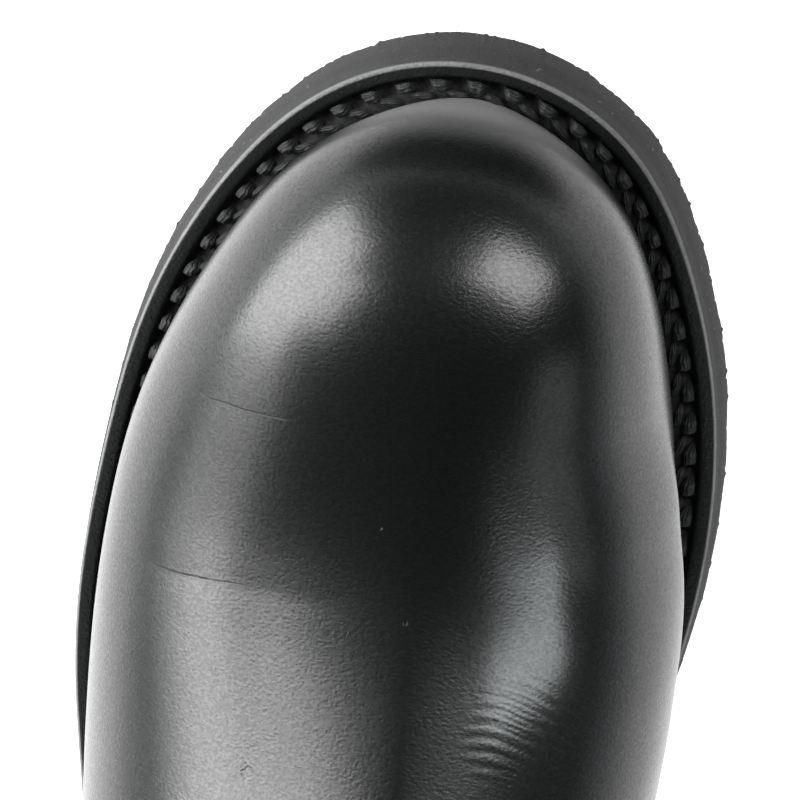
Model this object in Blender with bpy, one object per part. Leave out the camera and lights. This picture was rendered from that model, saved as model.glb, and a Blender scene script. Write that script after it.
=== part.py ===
"""Left pull-on biker boot, men's EU 43, standing empty on its sole.

Five pieces, as a boot maker puts them together: a ribbed rubber outsole, a rubber heel block,
a stitched-down leather welt with a raised inner rib, a leather insole, and one hollow leather
upper from the toe to the collar. The toe points to -Y, the outer side of the foot is +X.
"""

import bpy
import numpy as np

MM = 0.001
GAP = 0.3

# Driving dimensions, in millimetres.
LENGTH = 306.0
TOE_RADIUS = 36.0
HEEL_RADIUS = 36.0
TOE_SPRING = 10.0
SPRING_REACH = 95.0
SPRING_POWER = 2.2
BALL_END = 145.0
SEAT_START = 250.0
HEEL_LIFT = 29.0
HEEL_BREAST = 222.0
OUTSOLE_THICK = 8.5
OUTSOLE_FLARE = 0.9
WELT_THICK = 3.2
WELT_SHOW = 8.5
TIP_SHOW = 6.8
BACK_SHOW = 6.0
WELT_REACH = 12.6
INSOLE_PROUD = 1.2
INSOLE_CHAMFER = 0.8
LEATHER = 2.2
BACK_HEIGHT = 232.0
CUP_FROM, CUP_FULL = 95.0, 140.0
CUP_HEIGHT = 60.0
CUP_POWER = 6
CUP_EASE = 3.0
CUP_ANGLES = np.radians(np.linspace(60, 179.5, 240))
TIP_NARROW = np.radians(12)
BACK_NARROW = np.radians((110, 170))

# Tread ribs run straight across the sole, with a groove between each two.
RIB_PITCH = 6.0
GROOVE_FLOOR = 1.2
GROOVE_WALL = 0.5
GROOVE_DEPTH = 1.4
FOREFOOT_RIBS = (6.0, 150.0)
HEEL_RIBS = (228.0, 300.0)

# Outline of the welt seen from above: distance behind the toe, and the half-width from the
# toe-to-heel axis towards the inner and the outer side of the foot.
OUTLINE = (
    # behind, inner, outer
    (10.0, 24.9, 25.8),
    (30.0, 37.9, 41.7),
    (60.0, 47.1, 54.1),
    (90.0, 49.7, 59.3),
    (120.0, 46.8, 61.3),
    (150.0, 40.5, 58.8),
    (180.0, 35.0, 52.5),
    (210.0, 33.8, 46.0),
    (240.0, 35.8, 41.8),
    (270.0, 36.2, 38.2),
    (292.0, 27.6, 28.0),
)

# Sections of the upper. Each lies across the boot and runs from a base point to a ridge point.
# "at" is the base point in degrees: along the feather line from the toe, 0, to the back, 180,
# and then up the back seam to the collar, 270. "aside" moves the ridge to the outer side, or to the
# inner side where it is negative, "crest" is the power at the ridge, lower where it is narrower, and
# "back" moves the back seam to the rear.
SECTIONS = (
    # at, ridge behind toe, height, aside, inner and outer half-width at the belly, power, crest, back
    (0.0, 6.8, 20.5, 0.0, 0.0, 0.0, 2.1, 2.1, 0.0),
    (13.0, 8.6, 38.0, 0.0, 15.4, 15.6, 2.15, 2.15, 0.0),
    (26.0, 19.0, 52.5, 0.0, 27.9, 29.2, 2.2, 2.2, 0.0),
    (42.0, 40.0, 62.0, 0.0, 37.0, 41.9, 2.2, 2.05, 0.0),
    (60.0, 76.0, 67.8, -3.0, 43.8, 52.8, 2.1, 1.72, 0.0),
    (70.0, 96.5, 77.6, -5.8, 47.8, 54.8, 2.06, 1.55, 0.0),
    (80.0, 117.0, 89.6, -7.0, 48.2, 54.6, 2.05, 1.46, 0.0),
    (100.0, 147.0, 112.0, -7.6, 46.6, 49.0, 2.05, 1.42, 0.0),
    (120.0, 164.0, 130.0, -6.0, 42.0, 44.5, 2.03, 1.6, 0.0),
    (140.0, 173.0, 143.5, -3.4, 39.8, 41.2, 2.0, 1.85, 0.0),
    (160.0, 178.0, 157.0, -1.2, 41.4, 41.6, 2.0, 2.0, 0.0),
    (180.0, 181.0, 170.0, 0.0, 42.25, 42.25, 2.0, 2.0, 0.0),
    (200.0, 182.8, 183.5, 0.0, 42.8, 43.2, 2.0, 2.0, 0.8),
    (215.0, 183.2, 197.0, 0.0, 43.2, 44.7, 2.0, 2.0, 0.5),
    (230.0, 182.6, 214.5, 0.0, 44.6, 46.7, 2.0, 2.0, -3.5),
    (245.0, 180.8, 235.0, 0.0, 46.8, 49.4, 2.0, 2.0, -5.5),
    (258.0, 178.3, 255.5, 0.0, 48.7, 52.0, 2.0, 2.0, -3.0),
    (270.0, 175.5, 275.0, 0.0, 50.2, 54.0, 2.0, 2.0, 1.0),
)

# The heel, the ankle and the shaft, by height above the floor.
SHAFT = (
    # height, roundness inner and outer, widest half-width inner and outer
    (40.0, 60.0, 60.0, 44.0, 45.0),
    (110.0, 66.0, 66.0, 42.5, 43.0),
    (160.0, 68.0, 70.0, 43.5, 44.5),
    (200.0, 72.0, 76.0, 46.0, 48.0),
    (240.0, 81.0, 90.0, 52.0, 56.0),
    (275.0, 92.0, 106.0, 58.0, 62.0),
)

# Every piece has its rings at the same angles along the outline, so their facets lie parallel.
STATIONS = np.linspace(0, np.pi, 45)
BACK_STATIONS = 14
UPPER_AROUND = 27


def spline(knots, values, at):
    """Natural cubic spline: one linear system gives the bending at the knots."""
    x, y, at = (np.asarray(a, float) for a in (knots, values, at))
    span = np.diff(x)
    slope = np.diff(y) / span
    bend = np.zeros(len(x))
    system = np.diag(2 * (span[:-1] + span[1:])) + np.diag(span[1:-1], 1) + np.diag(span[1:-1], -1)
    bend[1:-1] = np.linalg.solve(system, 6 * np.diff(slope))
    i = np.clip(np.searchsorted(x, at) - 1, 0, len(span) - 1)
    after, before = at - x[i], x[i + 1] - at
    cubic = (bend[i] * before**3 + bend[i + 1] * after**3) / (6 * span[i])
    start = (y[i] / span[i] - bend[i] * span[i] / 6) * before
    end = (y[i + 1] / span[i] - bend[i + 1] * span[i] / 6) * after
    return cubic + start + end


def smooth_step(x):
    x = np.clip(x, 0, 1)
    return x * x * (3 - 2 * x)


def angle_at(behind):
    """Angle along the outline, 0 at the toe and pi at the heel, of a distance behind the toe."""
    return np.arccos(1 - 2 * np.asarray(behind, float) / LENGTH)


def half_width(angle, side):
    """Half-width of the welt outline: the sine of the angle times a slowly changing fullness."""
    behind, inner, outer = np.array(OUTLINE).T
    knots = angle_at(behind)
    fullness = (outer if side > 0 else inner) / np.sin(knots)
    ends = [np.sqrt(radius * LENGTH / 2) for radius in (TOE_RADIUS, HEEL_RADIUS)]
    knots = np.concatenate([[0], knots, [np.pi]])
    fullness = np.concatenate([ends[:1], fullness, ends[1:]])
    return np.sin(angle) * spline(knots, fullness, angle)


FINE = np.linspace(0, np.pi, 1441)


def rim(angle, inset, side):
    """Outline moved inwards by inset: distance behind the toe and half-width at each angle."""
    half = half_width(FINE, side)
    run = LENGTH * np.sin(FINE) / 2
    rise = np.gradient(half, FINE)
    length = np.hypot(run, rise)
    behind = LENGTH * (1 - np.cos(FINE)) / 2 + inset * rise / length
    half = np.clip(half - inset * run / length, 0, None)
    return np.interp(angle, FINE, behind), np.interp(angle, FINE, half)


def feather(angle, side):
    """Line where the upper meets the welt: nearest to the edge at the toe's tip and at the back."""
    tip = np.exp(-((FINE / TIP_NARROW) ** 2))
    back = smooth_step((FINE - BACK_NARROW[0]) / (BACK_NARROW[1] - BACK_NARROW[0]))
    inset = WELT_SHOW - (WELT_SHOW - TIP_SHOW) * tip - (WELT_SHOW - BACK_SHOW) * back
    return rim(angle, inset, side)


def sole_height(behind):
    """Height of the sole's underside: the toe spring, a flat tread and the rise to the heel seat."""
    spring = TOE_SPRING * np.clip(1 - behind / SPRING_REACH, 0, None) ** SPRING_POWER
    return spring + HEEL_LIFT * smooth_step((behind - BALL_END) / (SEAT_START - BALL_END))


def outsole_top(behind):
    return sole_height(behind) + OUTSOLE_THICK


def welt_top(behind):
    return outsole_top(behind) + GAP + WELT_THICK


# The outline isn't symmetrical, so the middle of its width is moved to x = 0.
MIDDLE = (rim(FINE, -OUTSOLE_FLARE, 1)[1].max() - rim(FINE, -OUTSOLE_FLARE, -1)[1].max()) / 2


def place(behind, across, height):
    """Points in metres from distance behind the toe, distance to the outer side, and height."""
    return np.stack([across - MIDDLE, behind - LENGTH / 2, height], axis=-1) * MM


def add_object(name, points, faces, finish):
    colour, roughness = finish
    mesh = bpy.data.meshes.new(name)
    mesh.from_pydata(points.tolist(), [], faces)
    mesh.validate()
    material = bpy.data.materials.new(name)
    material.use_nodes = True
    shader = material.node_tree.nodes["Principled BSDF"]
    shader.inputs["Base Color"].default_value = (*colour, 1)
    shader.inputs["Roughness"].default_value = roughness
    mesh.materials.append(material)
    piece = bpy.data.objects.new(name, mesh)
    bpy.context.collection.objects.link(piece)
    piece.parent = boot
    return piece


def grid_faces(rows, columns, wrap_rows, wrap_columns):
    """Quads of a grid of points, row after row, joined end to end where it wraps."""
    faces = []
    for row in range(rows if wrap_rows else rows - 1):
        for column in range(columns if wrap_columns else columns - 1):
            after, beside = (row + 1) % rows, (column + 1) % columns
            corners = ((row, column), (row, beside), (after, beside), (after, column))
            faces.append([r * columns + c for r, c in corners])
    return faces


def plate(name, angles, edge, finish, groove=None):
    """Solid through closed rings across the boot.

    edge lists the ring's corners on one side, from the bottom to the top: how far in from the
    outline, the surface that its height is measured from, and the height above that surface.
    groove is a lift for each ring's corners under the sole, and shrinks to nothing at the top.
    """
    lift = np.zeros(len(angles)) if groove is None else groove
    sides = []
    for side in (1, -1):
        chain = []
        for corner, (inset, surface, above) in enumerate(edge):
            behind, half = rim(angles, inset, side)
            height = surface(behind) + above
            if corner < len(edge) - 2:
                height = height + lift
            chain.append(place(behind, side * half, height))
        sides.append(chain)
    ring = np.stack(sides[0] + sides[1][::-1], axis=1)
    rings, corners, _ = ring.shape
    faces = grid_faces(rings, corners, False, True)
    faces.append(list(range(corners))[::-1])
    faces.append([(rings - 1) * corners + c for c in range(corners)])
    faces = [face[::-1] for face in faces]
    return add_object(name, ring.reshape(-1, 3), faces, finish)


def ribbed(plain, ribs):
    """Angles of the rings, the plain ones and those of the ribs, and the groove lift at each."""
    centres = np.arange(ribs[0], ribs[1], RIB_PITCH)
    half_floor = GROOVE_FLOOR / 2
    offsets = np.array([-half_floor - GROOVE_WALL, -half_floor, half_floor, half_floor + GROOVE_WALL])
    edges = (centres[:, None] + offsets).ravel()
    lift = np.tile([0, GROOVE_DEPTH, GROOVE_DEPTH, 0], len(centres))
    angles = angle_at(edges)
    plain = plain[(plain < angles[0]) | (plain > angles[-1])]
    order = np.argsort(np.concatenate([plain, angles]))
    angles = np.concatenate([plain, angles])[order]
    return angles, np.concatenate([np.zeros(len(plain)), lift])[order]


TIP = np.radians(1.5)
PLATE_STATIONS = np.clip(STATIONS, TIP, np.pi - TIP)

# Finishes: colour and roughness.
RUBBER = ((0.030, 0.031, 0.031), 0.75)
WELT_LEATHER = ((0.012, 0.013, 0.012), 0.5)
UPPER_LEATHER = ((0.012, 0.013, 0.012), 0.35)
TAN_LEATHER = ((0.30, 0.19, 0.10), 0.8)


def make_outsole():
    angles, groove = ribbed(PLATE_STATIONS, FOREFOOT_RIBS)
    edge = (
        (0.2, sole_height, 0.0),
        (-OUTSOLE_FLARE, sole_height, 1.1),
        (-OUTSOLE_FLARE, sole_height, 4.0),
        (-0.4, outsole_top, 0.0),
    )
    return plate("outsole", angles, edge, RUBBER, groove)


def make_heel():
    breast = angle_at(HEEL_BREAST)
    behind_breast = PLATE_STATIONS[PLATE_STATIONS > breast]
    angles, groove = ribbed(np.concatenate([[breast], behind_breast]), HEEL_RIBS)

    def floor(behind):
        return np.zeros_like(behind)

    edge = (
        (3.4, floor, 0.0),
        (2.4, floor, 1.2),
        (2.3, floor, 4.5),
        (0.6, sole_height, -GAP),
    )
    return plate("heel", angles, edge, RUBBER, groove)


def make_insole():
    edge = (
        (WELT_REACH + GAP, outsole_top, GAP),
        (WELT_REACH + GAP, welt_top, INSOLE_PROUD - INSOLE_CHAMFER),
        (WELT_REACH + GAP + INSOLE_CHAMFER, welt_top, INSOLE_PROUD),
    )
    return plate("insole", PLATE_STATIONS, edge, TAN_LEATHER)


def make_welt():
    """Ring round the sole: one profile carried along the outline, with the rib beside the upper."""
    profile = (
        # inset, height above the outsole
        (0.0, GAP),
        (0.0, GAP + 2.6),
        (0.6, GAP + WELT_THICK),
        (3.3, GAP + WELT_THICK),
        (3.7, GAP + WELT_THICK + 1.1),
        (4.3, GAP + WELT_THICK + 1.4),
        (4.9, GAP + WELT_THICK + 1.1),
        (5.1, GAP + WELT_THICK),
        (WELT_REACH, GAP + WELT_THICK),
        (WELT_REACH, GAP),
    )
    loops = []
    for inset, above in profile:
        behind, half = rim(STATIONS, inset, 1)
        outer = place(behind, half, outsole_top(behind) + above)
        behind, half = rim(STATIONS, inset, -1)
        inner = place(behind, -half, outsole_top(behind) + above)
        loops.append(np.concatenate([outer, inner[-2:0:-1]]))
    ring = np.stack(loops, axis=1)
    faces = [face[::-1] for face in grid_faces(len(ring), len(profile), True, True)]
    return add_object("welt", ring.reshape(-1, 3), faces, WELT_LEATHER)


RIDGE_STEPS = np.linspace(0, SECTIONS[-1][0], 2701)


def way_left(behind, height, back):
    """Share of the level way from the back seam to the ridge that is left, 1 at the back seam."""
    knots, ridge_behind, ridge_height, *_ = np.array(SECTIONS).T
    heights, behinds = (spline(knots, values, RIDGE_STEPS) for values in (ridge_height, ridge_behind))
    ridge = np.interp(height, heights, behinds)
    return np.clip((behind - ridge) / (LENGTH - BACK_SHOW + back - ridge), 0, None)


def heel_cup(behind, height, back, side):
    """Half-width round the heel, the ankle and the shaft.

    The closing half-width has as its square the distance to the back, times the part of the way
    left to the ridge, times a roundness. The roundness starts as the feather line's own, down at
    the welt. Where the closing half-width grows past the widest one, that one takes over.
    """
    line_behind, line_half = feather(CUP_ANGLES, side)
    line_left = way_left(line_behind, welt_top(line_behind) + GAP, 0)
    from_back = LENGTH - BACK_SHOW - line_behind
    reach = LENGTH - BACK_SHOW + back - behind
    at_welt = np.interp(reach, from_back[::-1], (line_half**2 / (from_back * line_left))[::-1])
    heights, *columns = np.array(SHAFT).T
    roundness, widest = (spline(heights, column, height) for column in columns[side > 0 :: 2])
    low = np.clip(1 - (height - welt_top(behind) - GAP) / CUP_HEIGHT, 0, 1) ** 2
    square = reach * way_left(behind, height, back) * (roundness + (at_welt - roundness) * low)
    closing = np.sqrt(np.clip(square, 1e-9, None))
    widest = widest * (1 + CUP_EASE * low)
    return (closing**-CUP_POWER + widest**-CUP_POWER) ** (-1 / CUP_POWER)


def upper_surface(at, across):
    """Outside of the upper on a grid of base points and places across, -1 inner to 1 outer.

    Over the foot, each half of a section is an arc of a superellipse from the feather line to
    the ridge. The belly half-width to the power n is the feather half-width to the power n plus
    a spread to the power n, so the arc closes by itself at the toe. Above the belly the power
    changes to the crest's, and the arc leans over to the ridge. Further back, the heel cup gives
    the half-width.
    """
    knots, ridge_behind, ridge_height, aside, inner, outer, power, crest, back = np.array(SECTIONS).T
    power_at = spline(knots, power, at)[:, None]
    crest_at = spline(knots, crest, at)[:, None]
    aside_at = spline(knots, aside, at)[:, None]
    ridge_behind_at = spline(knots, ridge_behind, at)[:, None]
    ridge_height_at = spline(knots, ridge_height, at)[:, None]
    back_at = spline(knots, back, at) * (at > 180)
    climb = BACK_HEIGHT * (1 - np.cos(np.radians(np.clip(at - 180, 0, None))))
    cup_share = smooth_step((at - CUP_FROM) / (CUP_FULL - CUP_FROM))[:, None]
    halves = []
    for side, belly in ((-1, inner), (1, outer)):
        foot = feather(np.radians(np.minimum(knots, 180)), side)[1] * (knots < 180)
        spread = np.clip(belly**power - foot**power, 0, None) ** (1 / power)
        spread_at = np.clip(spline(knots, spread, at), 0, None)[:, None]
        base_behind, foot_at = feather(np.radians(np.minimum(at, 180)), side)
        foot_at = (foot_at * (at < 180))[:, None]
        base_height = (welt_top(base_behind) + GAP + climb)[:, None]
        base_behind = (base_behind + back_at)[:, None]
        belly_at = np.maximum((foot_at**power_at + spread_at**power_at) ** (1 / power_at), 1e-6)
        lean = np.clip(spread_at / belly_at, 0, 1)
        start = -np.arcsin(lean ** (power_at / 2))
        share = np.abs(across[across * side >= 0])
        angle = start + (np.pi / 2 - start) * (1 - share)
        turn = np.sign(angle) * np.abs(np.sin(angle)) ** (2 / power_at)
        along = (lean + turn) / (1 + lean)
        behind = base_behind + (ridge_behind_at - base_behind) * along
        height = base_height + (ridge_height_at - base_height) * along
        closing = 2 / power_at + (2 / crest_at - 2 / power_at) * smooth_step(2 * angle / np.pi)
        half = belly_at * np.clip(np.cos(angle), 0, None) ** closing
        cup = heel_cup(behind, height, back_at[:, None], side) * (share > 0)
        half = half + (cup - half) * cup_share
        across_ridge = aside_at * np.clip(turn, 0, None) ** 2
        halves.append(place(behind, side * half + across_ridge, height))
    return np.concatenate([halves[0][:, :-1], halves[1]], axis=1)


def make_upper():
    """Hollow leather upper, open at the collar and underneath, from the grid of its outside."""
    up_the_back = np.linspace(180, SECTIONS[-1][0], BACK_STATIONS + 1)[1:]
    at = np.concatenate([np.degrees(STATIONS), up_the_back])
    across = np.linspace(-1, 1, UPPER_AROUND)
    points = upper_surface(at, across)
    rows, columns, _ = points.shape
    faces = grid_faces(rows, columns, False, False)
    piece = add_object("upper", points.reshape(-1, 3), faces, UPPER_LEATHER)
    weld = piece.modifiers.new("close the toe and the back seam", "WELD")
    weld.merge_threshold = 0.00005
    wall = piece.modifiers.new("leather", "SOLIDIFY")
    wall.thickness = LEATHER * MM
    wall.offset = -1
    return piece


for old in list(bpy.data.objects):
    bpy.data.objects.remove(old)

boot = bpy.data.objects.new("boot", None)
bpy.context.collection.objects.link(boot)

make_outsole()
make_heel()
make_welt()
make_insole()
make_upper()
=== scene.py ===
# %% [markdown]
# A left biker boot, seen from above its toe. The frame holds five plain solids: outsole, heel, welt,
# insole and a hollow upper. Each of them gets a finer surface of the same shape here, because stitches,
# creases, rounded edges and leather grain are too small for the solids. Nothing is moved: every surface
# is worked out from the boot's own sizes, in millimetres, and placed in the frame's metres.

import bmesh
import bpy
import numpy as np
from mathutils import Matrix, Vector


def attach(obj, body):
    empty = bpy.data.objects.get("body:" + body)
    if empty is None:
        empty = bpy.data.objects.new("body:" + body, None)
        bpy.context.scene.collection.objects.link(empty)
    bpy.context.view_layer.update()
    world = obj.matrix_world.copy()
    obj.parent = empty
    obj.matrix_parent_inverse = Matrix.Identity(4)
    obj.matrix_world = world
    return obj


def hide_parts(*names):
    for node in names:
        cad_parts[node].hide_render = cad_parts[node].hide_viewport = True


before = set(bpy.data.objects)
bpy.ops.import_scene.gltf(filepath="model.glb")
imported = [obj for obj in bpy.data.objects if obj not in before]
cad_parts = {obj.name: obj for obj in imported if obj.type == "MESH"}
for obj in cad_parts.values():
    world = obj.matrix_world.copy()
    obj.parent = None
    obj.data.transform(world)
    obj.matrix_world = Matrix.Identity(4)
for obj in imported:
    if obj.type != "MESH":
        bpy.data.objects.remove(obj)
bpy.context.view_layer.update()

MM = 0.001

# %% [markdown]
# The camera stands in front of the toe and above it, turned so that the toe points up in the picture.
# Euler angles would hide that, so the camera gets its three axes directly: straight back from what it
# looks at, the direction that is up in the picture, and right, which is square to both. A long lens
# from 0.9 m gives the nearly parallel lines of a product photograph.

# %% Camera
CAMERA_PLACE = Vector((-0.0748, -0.5169, 0.8410))
CAMERA_TARGET = Vector((-0.0014, -0.1008, 0.0463))
PICTURE_UP = Vector((0.1635, -0.8801, -0.4457))
camera_data = bpy.data.cameras.new("camera")
camera_data.sensor_width = 36.0
camera_data.lens = 240.9
camera_data.clip_start = 0.01
camera = bpy.data.objects.new("camera", camera_data)
bpy.context.scene.collection.objects.link(camera)
bpy.context.scene.camera = camera
back_axis = (CAMERA_PLACE - CAMERA_TARGET).normalized()
right_axis = PICTURE_UP.cross(back_axis).normalized()
up_axis = back_axis.cross(right_axis)
turned = Matrix((right_axis, up_axis, back_axis)).transposed().to_4x4()
camera.matrix_world = Matrix.Translation(CAMERA_PLACE) @ turned
print("camera looks down by", round(np.degrees(np.arcsin(back_axis.z)), 1), "degrees")

# %% [markdown]
# All the curves of the boot pass through a few measured points. A natural cubic spline does that with
# the least bending, and one small linear system gives its bending at the points. Where a form has to
# start or stop softly, a smooth step takes it from 0 to 1.

# %% Curves through measured points
def smooth_step(x):
    """3x^2 - 2x^3, held at 0 before 0 and at 1 after 1."""
    x = np.clip(x, 0, 1)
    return x * x * (3 - 2 * x)


def spline(knots, values, at):
    """Natural cubic through the points: one linear system gives the bending at the inner knots."""
    x, y, at = (np.asarray(a, float) for a in (knots, values, at))
    span = np.diff(x)
    slope = np.diff(y) / span
    bend = np.zeros(len(x))
    system = np.diag(2 * (span[:-1] + span[1:])) + np.diag(span[1:-1], 1) + np.diag(span[1:-1], -1)
    bend[1:-1] = np.linalg.solve(system, 6 * np.diff(slope))
    i = np.clip(np.searchsorted(x, at) - 1, 0, len(span) - 1)
    after, before = at - x[i], x[i + 1] - at
    cubic = (bend[i] * before**3 + bend[i + 1] * after**3) / (6 * span[i])
    start = (y[i] / span[i] - bend[i] * span[i] / 6) * before
    end = (y[i + 1] / span[i] - bend[i + 1] * span[i] / 6) * after
    return cubic + start + end


print("smooth step at a quarter:", smooth_step(0.25))

# %% [markdown]
# The sole's edge is the line that everything else follows: outsole, welt, stitches and the upper's lower
# edge all run beside it. It is described by an angle that goes from the toe's tip, round the outer side,
# to the heel and back along the inner side, like the hand of a clock. The half-width is the sine of that
# angle times a slowly changing fullness, which keeps the toe and the heel round.

# %% The sole's edge
LENGTH = 306.0
END_RADIUS = 36.0
OUTLINE = (
    # behind the toe, half-width to the inner side, half-width to the outer side
    (10.0, 24.9, 25.8),
    (30.0, 37.9, 41.7),
    (60.0, 47.1, 54.1),
    (90.0, 49.7, 59.3),
    (120.0, 46.8, 61.3),
    (150.0, 40.5, 58.8),
    (180.0, 35.0, 52.5),
    (210.0, 33.8, 46.0),
    (240.0, 35.8, 41.8),
    (270.0, 36.2, 38.2),
    (292.0, 27.6, 28.0),
)
FINE = np.linspace(0, np.pi, 1441)


def angle_at(behind):
    """Angle of a distance behind the toe: the distance is half the length times 1 - cosine."""
    return np.arccos(1 - 2 * np.asarray(behind, float) / LENGTH)


def half_width(angle, side):
    """Sine of the angle times the fullness, a spline through the outline's own fullness."""
    behind, inner, outer = np.array(OUTLINE).T
    knots = angle_at(behind)
    fullness = (outer if side > 0 else inner) / np.sin(knots)
    end = [np.sqrt(END_RADIUS * LENGTH / 2)]
    knots = np.concatenate([[0], knots, [np.pi]])
    return np.sin(angle) * spline(knots, np.concatenate([end, fullness, end]), angle)


def rim(angle, inset, side):
    """Edge of one side moved square inwards by inset: distance behind the toe, and half-width."""
    half = half_width(FINE, side)
    run = LENGTH * np.sin(FINE) / 2
    rise = np.gradient(half, FINE)
    length = np.hypot(run, rise)
    behind = LENGTH * (1 - np.cos(FINE)) / 2 + inset * rise / length
    half = np.clip(half - inset * run / length, 0, None)
    return np.interp(angle, FINE, behind), np.interp(angle, FINE, half)


def round_rim(turn, inset):
    """The same all round: a turn up to pi is the outer side, and the rest comes back on the inner side."""
    angle = np.minimum(turn, 2 * np.pi - turn)
    outer = rim(angle, inset, 1)
    inner = rim(angle, inset, -1)
    on_outer = turn <= np.pi
    return np.where(on_outer, outer[0], inner[0]), np.where(on_outer, outer[1], -inner[1])


def even_turns(count, inset):
    """Turns that are evenly spaced along the edge at this inset, and the length of that loop."""
    turn = np.linspace(0, 2 * np.pi, 4 * len(FINE))
    behind, across = round_rim(turn, inset)
    length = np.concatenate([[0], np.cumsum(np.hypot(np.diff(behind), np.diff(across)))])
    return np.interp(np.arange(count) / count * length[-1], length, turn), length[-1]


print("edge of the sole:", round(even_turns(8, 0.0)[1]), "mm round")

# %% [markdown]
# Seen from the side, the sole lifts at the toe, lies flat under the ball and climbs to the heel seat. The
# layers lie on each other with a small gap, as in the solids. The outline isn't symmetrical, so the middle
# of its width is moved to x = 0, where the frame has it.

# %% Heights
GAP = 0.3
OUTSOLE_THICK = 8.5
WELT_THICK = 3.2
OUTSOLE_FLARE = 0.9
TOE_SPRING, SPRING_REACH, SPRING_POWER = 10.0, 95.0, 2.2
BALL_END, SEAT_START, HEEL_LIFT = 145.0, 250.0, 29.0
MIDDLE = (rim(FINE, -OUTSOLE_FLARE, 1)[1].max() - rim(FINE, -OUTSOLE_FLARE, -1)[1].max()) / 2


def sole_height(behind):
    """Underside of the sole: a power curve for the toe spring, and a smooth step up to the heel seat."""
    spring = TOE_SPRING * np.clip(1 - behind / SPRING_REACH, 0, None) ** SPRING_POWER
    return spring + HEEL_LIFT * smooth_step((behind - BALL_END) / (SEAT_START - BALL_END))


def outsole_top(behind):
    """Top of the rubber: a constant thickness above the underside."""
    return sole_height(behind) + OUTSOLE_THICK


def welt_top(behind):
    """Top of the welt: the rubber, a gap and the welt's thickness."""
    return outsole_top(behind) + GAP + WELT_THICK


def place(behind, across, height):
    """Points in the frame's metres: across becomes x, behind becomes y, height becomes z."""
    return np.stack(np.broadcast_arrays(across - MIDDLE, behind - LENGTH / 2, height), axis=-1) * MM


print("toe's underside is", round(float(sole_height(0.0)), 1), "mm up")
print("the middle is moved by", round(MIDDLE, 2), "mm")

# %% [markdown]
# Every piece here is a grid of points: one direction runs along the boot, the other across or round it.
# One helper turns such a grid into a mesh. It joins the ends where the grid closes on itself, merges the
# points that fall together at a pole or a seam, and turns a closed mesh the right way out by the sign of
# its volume. The grid's own coordinates become a UV map in millimetres, so a pattern can follow the piece.

# %% From a grid to a mesh
SHARP = np.radians(42)


def grid_quads(rows, columns):
    """Four corner numbers for each cell of a grid that is stored row after row."""
    corner = np.arange(rows * columns).reshape(rows, columns)
    cells = (corner[:-1, :-1], corner[:-1, 1:], corner[1:, 1:], corner[1:, :-1])
    return np.stack(cells, axis=-1).reshape(-1, 4)


def grid_piece(name, points, along, around, node=None, caps=False):
    """Mesh piece from a grid of points; along and around are its UV values, one more where it closes."""
    rows, columns, _ = points.shape
    wrapped = np.arange(rows * columns).reshape(rows, columns)
    wrapped = np.pad(wrapped, ((0, len(along) - rows), (0, len(around) - columns)), mode="wrap")
    cells = grid_quads(len(along), len(around))
    corners = wrapped.ravel()[cells]
    mesh = bpy.data.meshes.new(name)
    faces = corners.tolist()
    uv = np.stack(np.meshgrid(along, around, indexing="ij"), axis=-1).reshape(-1, 2)
    uv = uv[cells].reshape(-1, 2)
    if caps:
        faces += [wrapped[0].tolist()[::-1], wrapped[-1].tolist()]
        uv = np.concatenate([uv, np.zeros((2 * len(around), 2))])
    mesh.from_pydata(points.reshape(-1, 3).tolist(), [], faces)
    mesh.uv_layers.new(name="piece").data.foreach_set("uv", uv.astype(np.float32).ravel())
    work = bmesh.new()
    work.from_mesh(mesh)
    bmesh.ops.remove_doubles(work, verts=work.verts, dist=1e-6)
    if not any(edge.is_boundary for edge in work.edges) and work.calc_volume(signed=True) < 0:
        bmesh.ops.reverse_faces(work, faces=work.faces)
    work.to_mesh(mesh)
    work.free()
    mesh.polygons.foreach_set("use_smooth", np.ones(len(mesh.polygons), bool))
    mesh.set_sharp_from_angle(angle=SHARP)
    piece = bpy.data.objects.new(name, mesh)
    bpy.context.scene.collection.objects.link(piece)
    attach(piece, "root")
    if node:
        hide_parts(node)
    print(name, "has", len(mesh.polygons), "faces")
    return piece


print("edges of more than", round(np.degrees(SHARP)), "degrees stay sharp")

# %% [markdown]
# The upper is one skin of black leather, lasted over a foot form. It meets the welt along the feather line.
# A stack of sections describes it: each starts on the feather line, or further up on the back seam, and
# arches over to the ridge of the boot, the vamp's crest and then the front of the shaft. Sculpting would
# give the same form, but a table of sections can be checked against the solids.

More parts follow.
